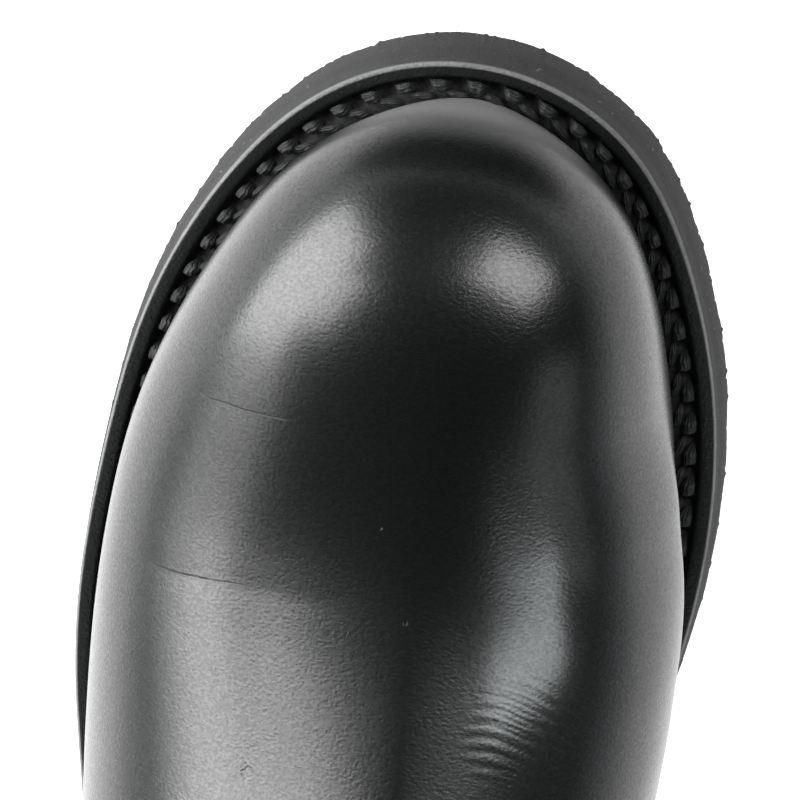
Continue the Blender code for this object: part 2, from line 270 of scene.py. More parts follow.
# %% Sizes of the upper
LEATHER = 2.2
WELT_SHOW, TIP_SHOW, BACK_SHOW = 8.5, 6.8, 6.0
TIP_NARROW = np.radians(12)
BACK_NARROW = np.radians((110, 170))
BACK_HEIGHT = 232.0
SECTIONS = (
    # base in degrees, ridge behind the toe, height, aside, inner and outer half-width, power, crest, back
    (0.0, 6.8, 20.5, 0.0, 0.0, 0.0, 2.1, 2.1, 0.0),
    (13.0, 8.6, 38.0, 0.0, 15.4, 15.6, 2.15, 2.15, 0.0),
    (26.0, 19.0, 52.5, 0.0, 27.9, 29.2, 2.2, 2.2, 0.0),
    (42.0, 40.0, 62.0, 0.0, 37.0, 41.9, 2.2, 2.05, 0.0),
    (60.0, 76.0, 67.8, -3.0, 43.8, 52.8, 2.1, 1.72, 0.0),
    (70.0, 96.5, 77.6, -5.8, 47.8, 54.8, 2.06, 1.55, 0.0),
    (80.0, 117.0, 89.6, -7.0, 48.2, 54.6, 2.05, 1.46, 0.0),
    (100.0, 147.0, 112.0, -7.6, 46.6, 49.0, 2.05, 1.42, 0.0),
    (120.0, 164.0, 130.0, -6.0, 42.0, 44.5, 2.03, 1.6, 0.0),
    (140.0, 173.0, 143.5, -3.4, 39.8, 41.2, 2.0, 1.85, 0.0),
    (160.0, 178.0, 157.0, -1.2, 41.4, 41.6, 2.0, 2.0, 0.0),
    (180.0, 181.0, 170.0, 0.0, 42.25, 42.25, 2.0, 2.0, 0.0),
    (200.0, 182.8, 183.5, 0.0, 42.8, 43.2, 2.0, 2.0, 0.8),
    (215.0, 183.2, 197.0, 0.0, 43.2, 44.7, 2.0, 2.0, 0.5),
    (230.0, 182.6, 214.5, 0.0, 44.6, 46.7, 2.0, 2.0, -3.5),
    (245.0, 180.8, 235.0, 0.0, 46.8, 49.4, 2.0, 2.0, -5.5),
    (258.0, 178.3, 255.5, 0.0, 48.7, 52.0, 2.0, 2.0, -3.0),
    (270.0, 175.5, 275.0, 0.0, 50.2, 54.0, 2.0, 2.0, 1.0),
)
SHAFT = (
    # height, roundness inner and outer, widest half-width inner and outer
    (40.0, 60.0, 60.0, 44.0, 45.0),
    (110.0, 66.0, 66.0, 42.5, 43.0),
    (160.0, 68.0, 70.0, 43.5, 44.5),
    (200.0, 72.0, 76.0, 46.0, 48.0),
    (240.0, 81.0, 90.0, 52.0, 56.0),
    (275.0, 92.0, 106.0, 58.0, 62.0),
)


def feather(angle, side):
    """Line where the upper meets the welt: nearest to the edge at the toe's tip and at the back."""
    tip = np.exp(-((FINE / TIP_NARROW) ** 2))
    back = smooth_step((FINE - BACK_NARROW[0]) / (BACK_NARROW[1] - BACK_NARROW[0]))
    inset = WELT_SHOW - (WELT_SHOW - TIP_SHOW) * tip - (WELT_SHOW - BACK_SHOW) * back
    return rim(angle, inset, side)


print("the upper has", len(SECTIONS), "sections")

# %% [markdown]
# Round the heel the skin has to close on the back seam without a crease. A half-width whose square grows
# with the distance to the back does that, as in a circle or a parabola. Over the foot each section is an
# arc of a superellipse, a rounded form between an ellipse and a box.

# %% Form of the upper
CUP_FROM, CUP_FULL = 95.0, 140.0
CUP_HEIGHT, CUP_POWER, CUP_EASE = 60.0, 6, 3.0
CUP_ANGLES = np.radians(np.linspace(60, 179.5, 240))
RIDGE_STEPS = np.linspace(0, SECTIONS[-1][0], 2701)


def way_left(behind, height, back):
    """Share of the level way from the back seam to the ridge that is left, 1 at the back seam."""
    knots, ridge_behind, ridge_height, *_ = np.array(SECTIONS).T
    heights, behinds = (spline(knots, values, RIDGE_STEPS) for values in (ridge_height, ridge_behind))
    ridge = np.interp(height, heights, behinds)
    return np.clip((behind - ridge) / (LENGTH - BACK_SHOW + back - ridge), 0, None)


def heel_cup(behind, height, back, side):
    """Half-width round the heel: root of (distance to the back x way left x roundness), then capped."""
    line_behind, line_half = feather(CUP_ANGLES, side)
    line_left = way_left(line_behind, welt_top(line_behind) + GAP, 0)
    from_back = LENGTH - BACK_SHOW - line_behind
    reach = LENGTH - BACK_SHOW + back - behind
    at_welt = np.interp(reach, from_back[::-1], (line_half**2 / (from_back * line_left))[::-1])
    heights, *columns = np.array(SHAFT).T
    roundness, widest = (spline(heights, column, height) for column in columns[side > 0 :: 2])
    low = np.clip(1 - (height - welt_top(behind) - GAP) / CUP_HEIGHT, 0, 1) ** 2
    square = reach * way_left(behind, height, back) * (roundness + (at_welt - roundness) * low)
    closing = np.sqrt(np.clip(square, 1e-9, None))
    widest = widest * (1 + CUP_EASE * low)
    return (closing**-CUP_POWER + widest**-CUP_POWER) ** (-1 / CUP_POWER)


def upper_half(at, share, side):
    """One half of the upper: base on the feather line at share 1, ridge at share 0.

    The belly half-width to the power n is the feather's to the power n plus a spread to the power n, so
    the superellipse closes by itself at the toe. Above the belly the power changes to the crest's, lower
    where the instep is narrow, and the arc leans aside to the ridge. Further back the heel cup takes over.
    """
    knots, ridge_behind, ridge_height, aside, inner, outer, power, crest, back = np.array(SECTIONS).T
    belly = outer if side > 0 else inner
    shared = (power, crest, aside, ridge_behind, ridge_height)
    n, crest, aside, crest_behind, crest_height = (spline(knots, values, at)[:, None] for values in shared)
    back_at = spline(knots, back, at) * (at > 180)
    climb = BACK_HEIGHT * (1 - np.cos(np.radians(np.clip(at - 180, 0, None))))
    foot = feather(np.radians(np.minimum(knots, 180)), side)[1] * (knots < 180)
    spread = np.clip(belly**power - foot**power, 0, None) ** (1 / power)
    spread = np.clip(spline(knots, spread, at), 0, None)[:, None]
    base_behind, foot = feather(np.radians(np.minimum(at, 180)), side)
    foot = (foot * (at < 180))[:, None]
    base_height = (welt_top(base_behind) + GAP + climb)[:, None]
    base_behind = (base_behind + back_at)[:, None]
    belly = np.maximum((foot**n + spread**n) ** (1 / n), 1e-6)
    lean = np.clip(spread / belly, 0, 1)
    start = -np.arcsin(lean ** (n / 2))
    angle = start + (np.pi / 2 - start) * (1 - share)
    rise = np.sign(angle) * np.abs(np.sin(angle)) ** (2 / n)
    along = (lean + rise) / (1 + lean)
    behind = base_behind + (crest_behind - base_behind) * along
    height = base_height + (crest_height - base_height) * along
    closing = 2 / n + (2 / crest - 2 / n) * smooth_step(2 * angle / np.pi)
    half = belly * np.clip(np.cos(angle), 0, None) ** closing
    cup = heel_cup(behind, height, back_at[:, None], side) * (share > 0)
    half = half + (cup - half) * smooth_step((at - CUP_FROM) / (CUP_FULL - CUP_FROM))[:, None]
    return place(behind, side * half + aside * np.clip(rise, 0, None) ** 2, height)


VAMP_ROWS = np.linspace(0, 112, 225)
HEEL_ROWS = np.linspace(112, 180, 69)[1:]
SHAFT_ROWS = np.linspace(180, 270, 54)[1:]
ROWS = np.concatenate([VAMP_ROWS, HEEL_ROWS, SHAFT_ROWS])
SHARES = np.linspace(0, 1, 64)
inner_half = upper_half(ROWS, SHARES[::-1], -1)
outer_half = upper_half(ROWS, SHARES, 1)
skin = np.concatenate([inner_half[:, :-1], outer_half], axis=1)
skin[0] = skin[0].mean(axis=0)
ACROSS = np.concatenate([-SHARES[:0:-1], SHARES])
print("grid of the upper:", skin.shape)

# %% [markdown]
# New leather that has been tried on keeps a few marks. Behind the stiff toe the softer vamp swells a
# little over the welt, and the foot's bend leaves shallow troughs across it. They are placed in the
# boot's sizes, and pushed in or out along the skin's own normal, which is the cross product of the
# grid's two directions.

# %% Swells and creases
CREASES = (
    # y where x is 0, slope, bend, first x, last x, depth, half-width
    (-101.9, 0.063, 0.0017, 8.0, 32.0, 0.03, 2.0),
    (-72.1, 0.047, 0.0034, 8.0, 38.0, 0.06, 2.2),
)
CREASE_FADE = 12.0
SWELL = 1.9
SWELL_ROWS = (48.0, 58.0, 62.0, 74.0)
SWELL_SHARES = (-1.0, -0.72, -0.55, -0.12)
PUSH_FROM = (24.0, 34.0)


def skin_normals(grid):
    """Unit cross product of the steps across and along, the same for neighbours of a pole."""
    normal = np.cross(np.gradient(grid, axis=1), np.gradient(grid, axis=0))
    normal[0] = normal[1]
    return normal / np.maximum(np.linalg.norm(normal, axis=-1, keepdims=True), 1e-12)


def hump(x, start, full, fade, end):
    """Smooth step up from start to full, and down again from fade to end."""
    return smooth_step((x - start) / (full - start)) * smooth_step((end - x) / (end - fade))


x, y, z = np.moveaxis(skin / MM, -1, 0)
push = SWELL * hump(ROWS, *SWELL_ROWS)[:, None] * hump(ACROSS, *SWELL_SHARES)
for start, slope, bend, first, last, depth, half in CREASES:
    off = (y - start - slope * x - bend * x**2) / half
    push = push - depth * np.exp(-(off**2)) * hump(x, first - CREASE_FADE, first, last, last + CREASE_FADE)
push = push * smooth_step((z - PUSH_FROM[0]) / (PUSH_FROM[1] - PUSH_FROM[0]))
skin = skin + push[..., None] * skin_normals(skin) * MM
print("the skin moves from", round(push.min(), 2), "to", round(push.max(), 2), "mm")

# %% [markdown]
# The grid becomes the upper: the toe's pole and the back seam merge, a Solidify gives the leather its real
# thickness inwards, with the lining's finish inside, and a small Bevel rounds the cut edge of the collar.

# %% Upper
CUT_ROUND, CUT_ANGLE = 0.7, np.radians(55)
upper = grid_piece("upper_leather", skin, ROWS, ACROSS, "upper")
wall = upper.modifiers.new("leather", "SOLIDIFY")
wall.thickness = LEATHER * MM
wall.offset = -1
wall.material_offset = 1
rounding = upper.modifiers.new("cut edge", "BEVEL")
rounding.width = CUT_ROUND * MM
rounding.segments = 3
rounding.limit_method = "ANGLE"
rounding.angle_limit = CUT_ANGLE
print("leather is", LEATHER, "mm thick")

# %% [markdown]
# The welt is a leather strip between the upper and the sole. Its outer edge is trimmed to a narrow bevel,
# and beside the upper a sunk channel takes the thread. One profile is carried along the edge. At every
# thread hole the channel dips, which a cosine of the distance along the strip gives without cutting holes.

# %% Welt
STITCH = 6.25
STITCH_INSET = 4.7
STITCH_SHIFT = 0.48
stitch_count = int(round(even_turns(8, STITCH_INSET)[1] / STITCH))
WELT_PROFILE = (
    # inset from the edge, height above the rubber, share of the hole's dip
    (-0.12, -0.15, 0.0),
    (-0.1, 1.0, 0.0),
    (-0.06, 2.2, 0.0),
    (0.0, 2.8, 0.0),
    (0.15, 3.1, 0.0),
    (0.4, 3.35, 0.0),
    (0.7, 3.48, 0.0),
    (1.0, 3.5, 0.0),
    (1.7, 3.5, 0.0),
    (2.4, 3.47, 0.0),
    (2.8, 3.36, 0.0),
    (3.1, 3.0, 0.1),
    (3.35, 2.4, 0.3),
    (3.7, 2.0, 0.7),
    (4.2, 1.85, 1.0),
    (4.7, 1.8, 1.0),
    (5.2, 1.85, 1.0),
    (5.7, 2.05, 0.7),
    (6.1, 2.4, 0.3),
    (6.6, 2.7, 0.1),
    (7.2, 2.9, 0.0),
    (8.6, 3.2, 0.0),
    (12.6, 3.5, 0.0),
    (12.6, 0.0, 0.0),
)
HOLE_DEPTH = 0.9
HOLE_SHARPNESS = 5


def welt_surface(stations):
    """Profile along the edge; the dip is ((1 + cos) / 2) to a power, once per stitch."""
    turn, length = even_turns(stations, STITCH_INSET)
    stitch = stitch_count * np.arange(stations) / stations + STITCH_SHIFT
    hole = ((1 + np.cos(2 * np.pi * stitch)) / 2) ** HOLE_SHARPNESS
    columns = []
    for inset, above, dip in WELT_PROFILE:
        behind, across = round_rim(turn, inset)
        columns.append(place(behind, across, outsole_top(behind) + above - HOLE_DEPTH * dip * hole))
    return np.stack(columns, axis=1), length


welt_points, welt_length = welt_surface(stitch_count * 12)
along_welt = np.linspace(0, welt_length, len(welt_points) + 1)
welt_insets = [inset for inset, *_ in WELT_PROFILE]
welt_girth = np.array(welt_insets + welt_insets[-1:])
welt = grid_piece("welt_strip", welt_points, along_welt, welt_girth, "welt")
print("stitches:", stitch_count, "of", round(welt_length / stitch_count, 2), "mm")

# %% [markdown]
# The seam is sewn with thick waxed thread. Each stitch comes up from a hole, lies on the welt as a fat
# twisted lump and goes down again. A second row of slimmer lumps lies slantwise between the stitches and
# the upper. Separate stitches would be many objects; one tube along the edge, whose radius and height
# swing once per stitch, is a single surface and never shows a gap.

# %% Stitches
THREAD_AROUND = 14
STEPS_PER_STITCH = 20
PLY, PLY_DEPTH = 3, 0.10
THINNEST = 0.3
UNEVEN_SIZE, UNEVEN_SLANT = 0.06, 0.2


def thread(name, inset, shift, slant, lift, sink, fat, flat, lump):
    """Tube beside the edge: radius and height rise on each lump and sink between two of them.

    The section is an ellipse with three strands: its radius swings with three times the angle, turning
    slowly along the thread. shift is a share of a stitch, slant moves each lump from the upper's side to
    the edge's side, lift and sink are heights above the welt, fat is the lump's radius, flat is its height
    by its width, and lump is the share of a stitch where it starts, is full, fades and ends.
    """
    count = stitch_count * STEPS_PER_STITCH
    turn, length = even_turns(count, inset)
    stitch = np.arange(count) / STEPS_PER_STITCH + STITCH_SHIFT + shift
    phase = stitch % 1
    uneven = np.sin(2.4 * np.floor(stitch)) + np.sin(5.3 * np.floor(stitch))
    swell = hump(phase, *lump) * (1 + UNEVEN_SIZE * uneven)
    radius = fat * (THINNEST + (1 - THINNEST) * swell)
    height = sink + (lift - sink) * np.sqrt(swell)
    sideways = slant * np.cos(np.pi * phase) * (1 + UNEVEN_SLANT * uneven)
    angle = np.linspace(0, 2 * np.pi, THREAD_AROUND, endpoint=False)
    strands = 1 + PLY_DEPTH * np.cos(PLY * (angle - np.pi * phase[:, None]))
    out = inset + sideways[:, None] + radius[:, None] * strands * np.cos(angle)
    up = height[:, None] + flat * radius[:, None] * strands * np.sin(angle)
    edge = np.stack(round_rim(turn, 0.0), axis=-1)
    inwards = np.stack(round_rim(turn, 1.0), axis=-1) - edge
    spot = edge[:, None] + out[..., None] * inwards[:, None]
    points = place(spot[..., 0], spot[..., 1], welt_top(spot[..., 0]) + up)
    along = np.linspace(0, length, count + 1)
    around = np.linspace(0, 1, THREAD_AROUND + 1)
    return grid_piece(name, points, along, around)


stitches = thread(
    "welt_stitches",
    inset=STITCH_INSET,
    shift=0.0,
    slant=0.35,
    lift=0.0,
    sink=-3.2,
    fat=1.12,
    flat=0.85,
    lump=(0.14, 0.40, 0.62, 0.90),
)
bead = thread(
    "welt_bead",
    inset=6.6,
    shift=0.5,
    slant=0.75,
    lift=-0.15,
    sink=-1.6,
    fat=0.78,
    flat=0.9,
    lump=(0.0, 0.38, 0.62, 1.0),
)

# %% [markdown]
# Outsole, heel and insole are slabs that follow the sole's edge. One profile runs from the slab's centre
# line below, round its wall, to the centre line on top. Straight ribs run across the tread, and rubber
# that was cut with a knife has a ragged lower edge: a sum of sines along the edge gives slow waves, and the
# peaks of a second sum give small burrs.

# %% Slab of the sole
RIB_PITCH, GROOVE_FLOOR, GROOVE_WALL, GROOVE_DEPTH = 6.0, 1.2, 0.5, 1.4
RAG_PERIODS = (41.0, 23.0, 13.7)
BURR_PERIODS = (7.9, 4.3, 2.6, 1.7)
RAG, BURR, BURR_FROM = 0.07, 0.16, 1.5


def ribbed(plain, ribs):
    """Angles of the plain rings and of the four edges of each groove, with the lift of the groove."""
    centres = np.arange(ribs[0], ribs[1], RIB_PITCH)
    half = GROOVE_FLOOR / 2
    edges = (centres[:, None] + np.array([-half - GROOVE_WALL, -half, half, half + GROOVE_WALL])).ravel()
    lift = np.tile([0, GROOVE_DEPTH, GROOVE_DEPTH, 0], len(centres))
    order = np.argsort(np.concatenate([plain, angle_at(edges)]))
    angles = np.concatenate([plain, angle_at(edges)])[order]
    lifted = np.interp(angles, angle_at(edges), lift, left=0, right=0)
    return angles, lifted


def waves(length, periods):
    """Sum of sines along the edge, one for each period."""
    return sum(np.sin(2 * np.pi * length / period) for period in periods)


def slab(angles, lift, profile):
    """Grid of rings: each goes from the centre line under the slab round the edge to the one on top.

    profile rows are inset, the surface that the height is measured from, the height above it, the share
    of the groove's lift, and the share of the ragged wave. Inset None is the centre line.
    """
    turn = np.concatenate([angles, 2 * np.pi - angles[::-1]])
    lift = np.concatenate([lift, lift[::-1]])
    deepest = max(inset for inset, *_ in profile if inset is not None)
    edge = np.stack(round_rim(turn, 0.0))
    outwards = np.stack(round_rim(turn, -1.0)) - edge
    length = np.concatenate([[0], np.cumsum(np.hypot(*np.diff(edge)))])
    burr = waves(length, BURR_PERIODS)
    burr = np.clip(burr - BURR_FROM, 0, None) - np.clip(-burr - BURR_FROM, 0, None)
    notch = RAG * waves(length, RAG_PERIODS) + BURR * burr
    columns = []
    for inset, surface, above, groove, ragged in profile:
        behind, across = round_rim(turn, deepest if inset is None else inset)
        if inset is None:
            behind, across = (behind + behind[::-1]) / 2, (across + across[::-1]) / 2
        behind, across = np.stack([behind, across]) + outwards * notch * ragged
        columns.append(place(behind, across, surface(behind) + above + groove * lift))
    return np.stack(columns, axis=1)


def slab_piece(name, angles, lift, profile, node, caps=False):
    """Slab that stands for a node; its UV map counts the rings and the points of the profile."""
    points = slab(angles, lift, profile)
    along, around = (np.arange(count, dtype=float) for count in points.shape[:2])
    return grid_piece(name, points, along, around, node, caps)


print("ribs every", RIB_PITCH, "mm,", GROOVE_DEPTH, "mm deep")

# %% [markdown]
# The outsole is one layer of matt black rubber. Its wall leans out a little towards the floor, and both its
# edges are rounded. Its upper edge lies flush with the welt's side, so that the two look like one wall.

# %% Outsole
PLAIN = np.linspace(0, np.pi, 1201)
OUTSOLE_PROFILE = (
    # inset, surface, height above it, share of the groove, share of the ragged wave
    (None, sole_height, 0.0, 1.0, 0.0),
    (8.0, sole_height, 0.0, 1.0, 0.0),
    (1.0, sole_height, 0.0, 1.0, 0.5),
    (0.2, sole_height, 0.05, 0.9, 1.0),
    (-0.5, sole_height, 0.4, 0.5, 1.0),
    (-0.9, sole_height, 0.9, 0.25, 1.0),
    (-0.95, sole_height, 1.6, 0.0, 0.6),
    (-0.9, sole_height, 3.0, 0.0, 0.15),
    (-0.7, sole_height, 5.6, 0.0, 0.0),
    (-0.2, outsole_top, -0.6, 0.0, 0.0),
    (-0.12, outsole_top, -0.05, 0.0, 0.0),
    (0.5, outsole_top, 0.0, 0.0, 0.0),
    (8.0, outsole_top, 0.0, 0.0, 0.0),
    (None, outsole_top, 0.0, 0.0, 0.0),
)
FOREFOOT_RIBS = (6.0, 150.0)
outsole = slab_piece("rubber_outsole", *ribbed(PLAIN, FOREFOOT_RIBS), OUTSOLE_PROFILE, "outsole")

# %% [markdown]
# The heel block is out of the picture, so it stays plain: a block under the seat, a little narrower than
# the sole, with the same ribs and a straight front. It reuses the slab, cut off at the heel's breast.

# %% Heel
HEEL_BREAST = 222.0
HEEL_RIBS = (228.0, 300.0)


def floor_height(behind):
    """The floor itself, at height 0."""
    return np.zeros_like(behind)


HEEL_PROFILE = (
    (None, floor_height, 0.0, 1.0, 0.0),
    (8.0, floor_height, 0.0, 1.0, 0.0),
    (4.0, floor_height, 0.0, 1.0, 0.2),
    (3.2, floor_height, 0.1, 1.0, 0.5),
    (2.6, floor_height, 0.5, 1.0, 0.5),
    (2.4, floor_height, 1.2, 0.9, 0.4),
    (2.3, floor_height, 4.5, 0.0, 0.1),
    (1.5, sole_height, -12.0, 0.0, 0.0),
    (0.8, sole_height, -1.0, 0.0, 0.0),
    (1.0, sole_height, -GAP, 0.0, 0.0),
    (8.0, sole_height, -GAP, 0.0, 0.0),
    (None, sole_height, -GAP, 0.0, 0.0),
)
breast = angle_at(HEEL_BREAST)
heel_plain = np.concatenate([[breast], PLAIN[PLAIN > breast]])
heel = slab_piece("rubber_heel", *ribbed(heel_plain, HEEL_RIBS), HEEL_PROFILE, "heel", caps=True)

# %% [markdown]
# The insole closes the boot underneath. Only a look down the shaft shows it: a leather board with rounded
# edges, again the slab, without grooves.

# %% Insole
INSOLE_EDGE = 12.9
INSOLE_PROFILE = (
    (None, outsole_top, GAP, 0.0, 0.0),
    (INSOLE_EDGE + 4, outsole_top, GAP, 0.0, 0.0),
    (INSOLE_EDGE, outsole_top, GAP, 0.0, 0.0),
    (INSOLE_EDGE, welt_top, 0.3, 0.0, 0.0),
    (INSOLE_EDGE + 0.3, welt_top, 0.9, 0.0, 0.0),
    (INSOLE_EDGE + 0.9, welt_top, 1.2, 0.0, 0.0),
    (INSOLE_EDGE + 4, welt_top, 1.2, 0.0, 0.0),
    (None, welt_top, 1.2, 0.0, 0.0),
)
insole_angles = np.linspace(0, np.pi, 181)
insole = slab_piece("leather_insole", insole_angles, np.zeros_like(insole_angles), INSOLE_PROFILE, "insole")

# %% [markdown]
# Materials are written as sums. A small class wraps a socket, so that an expression such as 1 - mask adds
# the Math node for it, and one method adds any other node. Patterns read Object coordinates, in metres, or
# the piece's own UV map, in millimetres, so they stay on the boot from every side.

# %% Shader maths
class Shade:
    """One output socket of a material's nodes; arithmetic on it adds Math nodes."""

    def __init__(self, tree, socket=None):
        self.tree = tree
        self.socket = socket

    def node(self, kind, settings, inputs, output=0):
        """Adds a node: first its settings, then the values or links of its sockets; gives one output."""
        made = self.tree.nodes.new("ShaderNode" + kind)
        for name, value in settings.items():
            setattr(made, name, value)
        for name, value in inputs.items():
            if isinstance(value, Shade):
                self.tree.links.new(value.socket, made.inputs[name])
            else:
                made.inputs[name].default_value = value
        return Shade(self.tree, made.outputs[output])

    def math(self, operation, first, second):
        return self.node("Math", {"operation": operation}, {0: first, 1: second})

    def __add__(self, other):
        return self.math("ADD", self, other)

    def __sub__(self, other):
        return self.math("SUBTRACT", self, other)

    def __rsub__(self, other):
        return self.math("SUBTRACT", other, self)

    def __mul__(self, other):
        return self.math("MULTIPLY", self, other)

    __radd__ = __add__
    __rmul__ = __mul__

    def sine(self):
        return self.node("Math", {"operation": "SINE"}, {0: self})

    def rise(self, low, high):
        """Smooth step from 0 at low to 1 at high; it falls where low is the greater."""
        return self.node("MapRange", {"interpolation_type": "SMOOTHSTEP"}, {0: self, 1: low, 2: high})

    def mix(self, first, second):
        """Colour between two colours, by this value."""
        return self.node("Mix", {"data_type": "RGBA"}, {0: self, 6: first, 7: second}, 2)


print("Shade:", Shade.__doc__)

# %% [markdown]
# A few patterns come up in every finish: noise, the three numbers of a coordinate, and an oval round a
# middle. The other helpers start a material, fill the sockets of its shader and turn a height into a bump.

# %% Shader helpers
def noise(where, scale, detail=2.0, rough=0.5):
    """Cloudy value around 0.5; scale is the number of clouds per unit of the coordinates."""
    inputs = {"Vector": where, "Scale": scale, "Detail": detail, "Roughness": rough}
    return where.node("TexNoise", {}, inputs)


def parts(where):
    """The three numbers of a vector."""
    return [where.node("SeparateXYZ", {}, {0: where}, index) for index in range(3)]


def oval(x, y, middle, half):
    """Squared distance from a middle, counted in half-sizes: 1 on the rim of the oval."""
    u = (x - middle[0]) * (1 / half[0])
    v = (y - middle[1]) * (1 / half[1])
    return u * u + v * v


def new_finish(name):
    """Empty material: the material, its Object coordinates, its UV map, and its shader."""
    material = bpy.data.materials.new(name)
    material.use_nodes = True
    tree = material.node_tree
    start = Shade(tree)
    shader = tree.nodes["Principled BSDF"]
    return material, start.node("TexCoord", {}, {}, "Object"), start.node("UVMap", {}, {}), shader


def connect(shader, links, constants):
    """Links varying sockets and sets constant ones on the shader itself."""
    for name, value in links.items():
        value.tree.links.new(value.socket, shader.inputs[name])
    for name, value in constants.items():
        shader.inputs[name].default_value = value


def bump(height, distance):
    """Normal from a height between 0 and 1, where 1 stands distance metres proud."""
    return height.node("Bump", {}, {"Height": height, "Distance": distance, "Strength": 1.0})


print("shader helpers ready")

# %% [markdown]
# Wear leaves three kinds of marks on the vamp. Sharp lines run along the troughs, and they follow the same
# curves as the troughs in the mesh, wavered by noise. Where the foot bends, the inner side has fine arched
# wrinkles: sines, broken up by noise. And there are three small pits. All of them are too fine for the
# mesh, so they are heights for a bump.

# %% Lines, wrinkles and pits
ON_VAMP = (0.030, 0.035)
LINE_HALF, LINE_WAVER = 0.09, 1.2
LINE_SHOWN = (0.25, 0.5, 0.9, 1.0)
WRINKLE_MIDDLE, WRINKLE_SPREAD = (-0.0310, -0.0565), (0.0110, 0.0105)
WRINKLE_BEND, WRINKLE_TOP, WRINKLE_PITCH = 0.024, -22.0, 2.1
PITS = (
    # x, y and radius in metres
    (0.0139, -0.0425, 0.0014),
    (-0.0091, -0.0718, 0.0005),
    (-0.0024, -0.0862, 0.0005),
)


def leather_lines(where, wander):
    """1 on the sharp lines of the creases: a smooth step down from the curve, faded at both ends."""
    x, y, z = parts(where)
    total = 0.0
    for start, slope, bend, first, last, _, _ in CREASES:
        off = y - start * MM - x * slope - x * x * (bend / MM) + (wander - 0.5) * (LINE_WAVER * MM)
        off = off * (1 / (LINE_HALF * MM))
        starts, full, fades, ends = (MM * (first + (last - first) * share) for share in LINE_SHOWN)
        shown = x.rise(starts, full) * x.rise(ends, fades) * z.rise(*ON_VAMP)
        total = (off * off).rise(4.0, 0.0) * shown + total
    return total


def leather_wrinkles(where, wander):
    """Fine arcs: sines of y less a bend in x, in two pitches that noise chooses, under an oval mask."""
    x, y, z = parts(where)
    mask = oval(x, y, WRINKLE_MIDDLE, WRINKLE_SPREAD).rise(1.0, 0.25) * z.rise(*ON_VAMP)
    sideways = x - WRINKLE_TOP * MM
    arched = y - sideways * sideways * (WRINKLE_BEND / MM)
    level = arched * (1 / (WRINKLE_PITCH * MM)) + wander * 0.6
    broken = noise(where, 140.0, 1.0).rise(0.3, 0.7)
    wide = (level * (2 * np.pi)).sine() * broken
    narrow = (level * (4.6 * np.pi)).sine() * (1 - broken)
    return (wide + narrow * 0.5) * mask


def leather_pits(where, ragged):
    """1 near the middle of each pit, with an outline that noise makes ragged."""
    x, y, z = parts(where)
    total = 0.0
    for across, along, radius in PITS:
        near = oval(x, y, (across, along), (radius, radius)) + (ragged - 0.5) * 3.0
        total = near.rise(0.8, 0.2) * z.rise(*ON_VAMP) + total
    return total


print(len(CREASES), "lines and", len(PITS), "pits")

# %% [markdown]
# Full-grain leather, dyed black and waxed: a fine pebble of about half a millimetre that shows only where
# light glances off it, and a soft gloss that varies in patches. The pebble is a Voronoi pattern with finer
# noise over it. The wax lies on top of the grain and not in its pores, so the same pattern drives the coat,
# which breaks the highlights up into fine sparkles. At the foot of the toe, just above the welt, a pale
# strip is painted into the colour and made a little rougher: a painted sheen along the leather's lower
# edge.

# %% Black leather
# The pale strip low on the toe's front is a painted sheen: its band of height, its reach ahead and its
# grey.
PAINTED_SHEEN_HEIGHT, PAINTED_SHEEN_AHEAD = (0.037, 0.025), (-0.134, -0.144)
PAINTED_SHEEN_GREY = (0.16, 0.16, 0.16, 1)
BLACK_DEEP, BLACK_PALE = (0.0016, 0.0021, 0.0021, 1), (0.0030, 0.0038, 0.0037, 1)
GRAIN_STRETCH = (0.8, 1.2, 1.1)
LEATHER_RELIEF = 0.00012
LEATHER_ROUGH, WAX = 0.27, 0.45
LINING_DARK, LINING_PALE = (0.020, 0.020, 0.020, 1), (0.040, 0.039, 0.037, 1)


def black_leather():
    """Grain, pebble and marks as one height; the grain also steers tone, roughness and wax."""
    material, where, _, shader = new_finish("black_leather")
    wander = noise(where, 90.0)
    patches = noise(where, 22.0, 3.0)
    strokes = where.node("Mapping", {}, {"Vector": where, "Scale": GRAIN_STRETCH})
    grain = noise(strokes, 1600.0, 2.0, 0.6)
    cells = {"Vector": strokes, "Scale": 1700.0, "Smoothness": 0.7}
    pebble = where.node("TexVoronoi", {"feature": "SMOOTH_F1"}, cells)
    swelling = noise(where, 160.0, 2.0)
    lines = leather_lines(where, wander)
    wrinkles = leather_wrinkles(where, wander)
    pits = leather_pits(where, noise(where, 900.0))
    height = grain * 0.36 - pebble * 0.12 + swelling * 0.06
    height = height - lines * 0.35 + wrinkles * 0.24 - pits * 0.5
    tone = patches.rise(0.3, 0.7) * 0.6 + grain * 0.4
    _, y, z = parts(where)
    # Painted sheen: a pale strip just above the welt at the toe's front, which is also a little rougher.
    dust_and_painted_sheen = z.rise(*PAINTED_SHEEN_HEIGHT) * y.rise(*PAINTED_SHEEN_AHEAD)
    colour = (dust_and_painted_sheen * dust_and_painted_sheen).mix(tone.mix(BLACK_DEEP, BLACK_PALE), PAINTED_SHEEN_GREY)
    wax = grain.rise(0.25, 0.75) * pebble.rise(0.1, 0.5) * WAX
    rough = LEATHER_ROUGH + (patches - 0.5) * 0.06 + (grain - 0.5) * 0.08 + lines * 0.6 + dust_and_painted_sheen * 0.2
    relief = bump(height, LEATHER_RELIEF)
    connect(
        shader,
        {"Base Color": colour, "Roughness": rough, "Coat Weight": wax, "Normal": relief},
        {"Coat Roughness": 0.2, "Specular IOR Level": 0.5},
    )
    return material


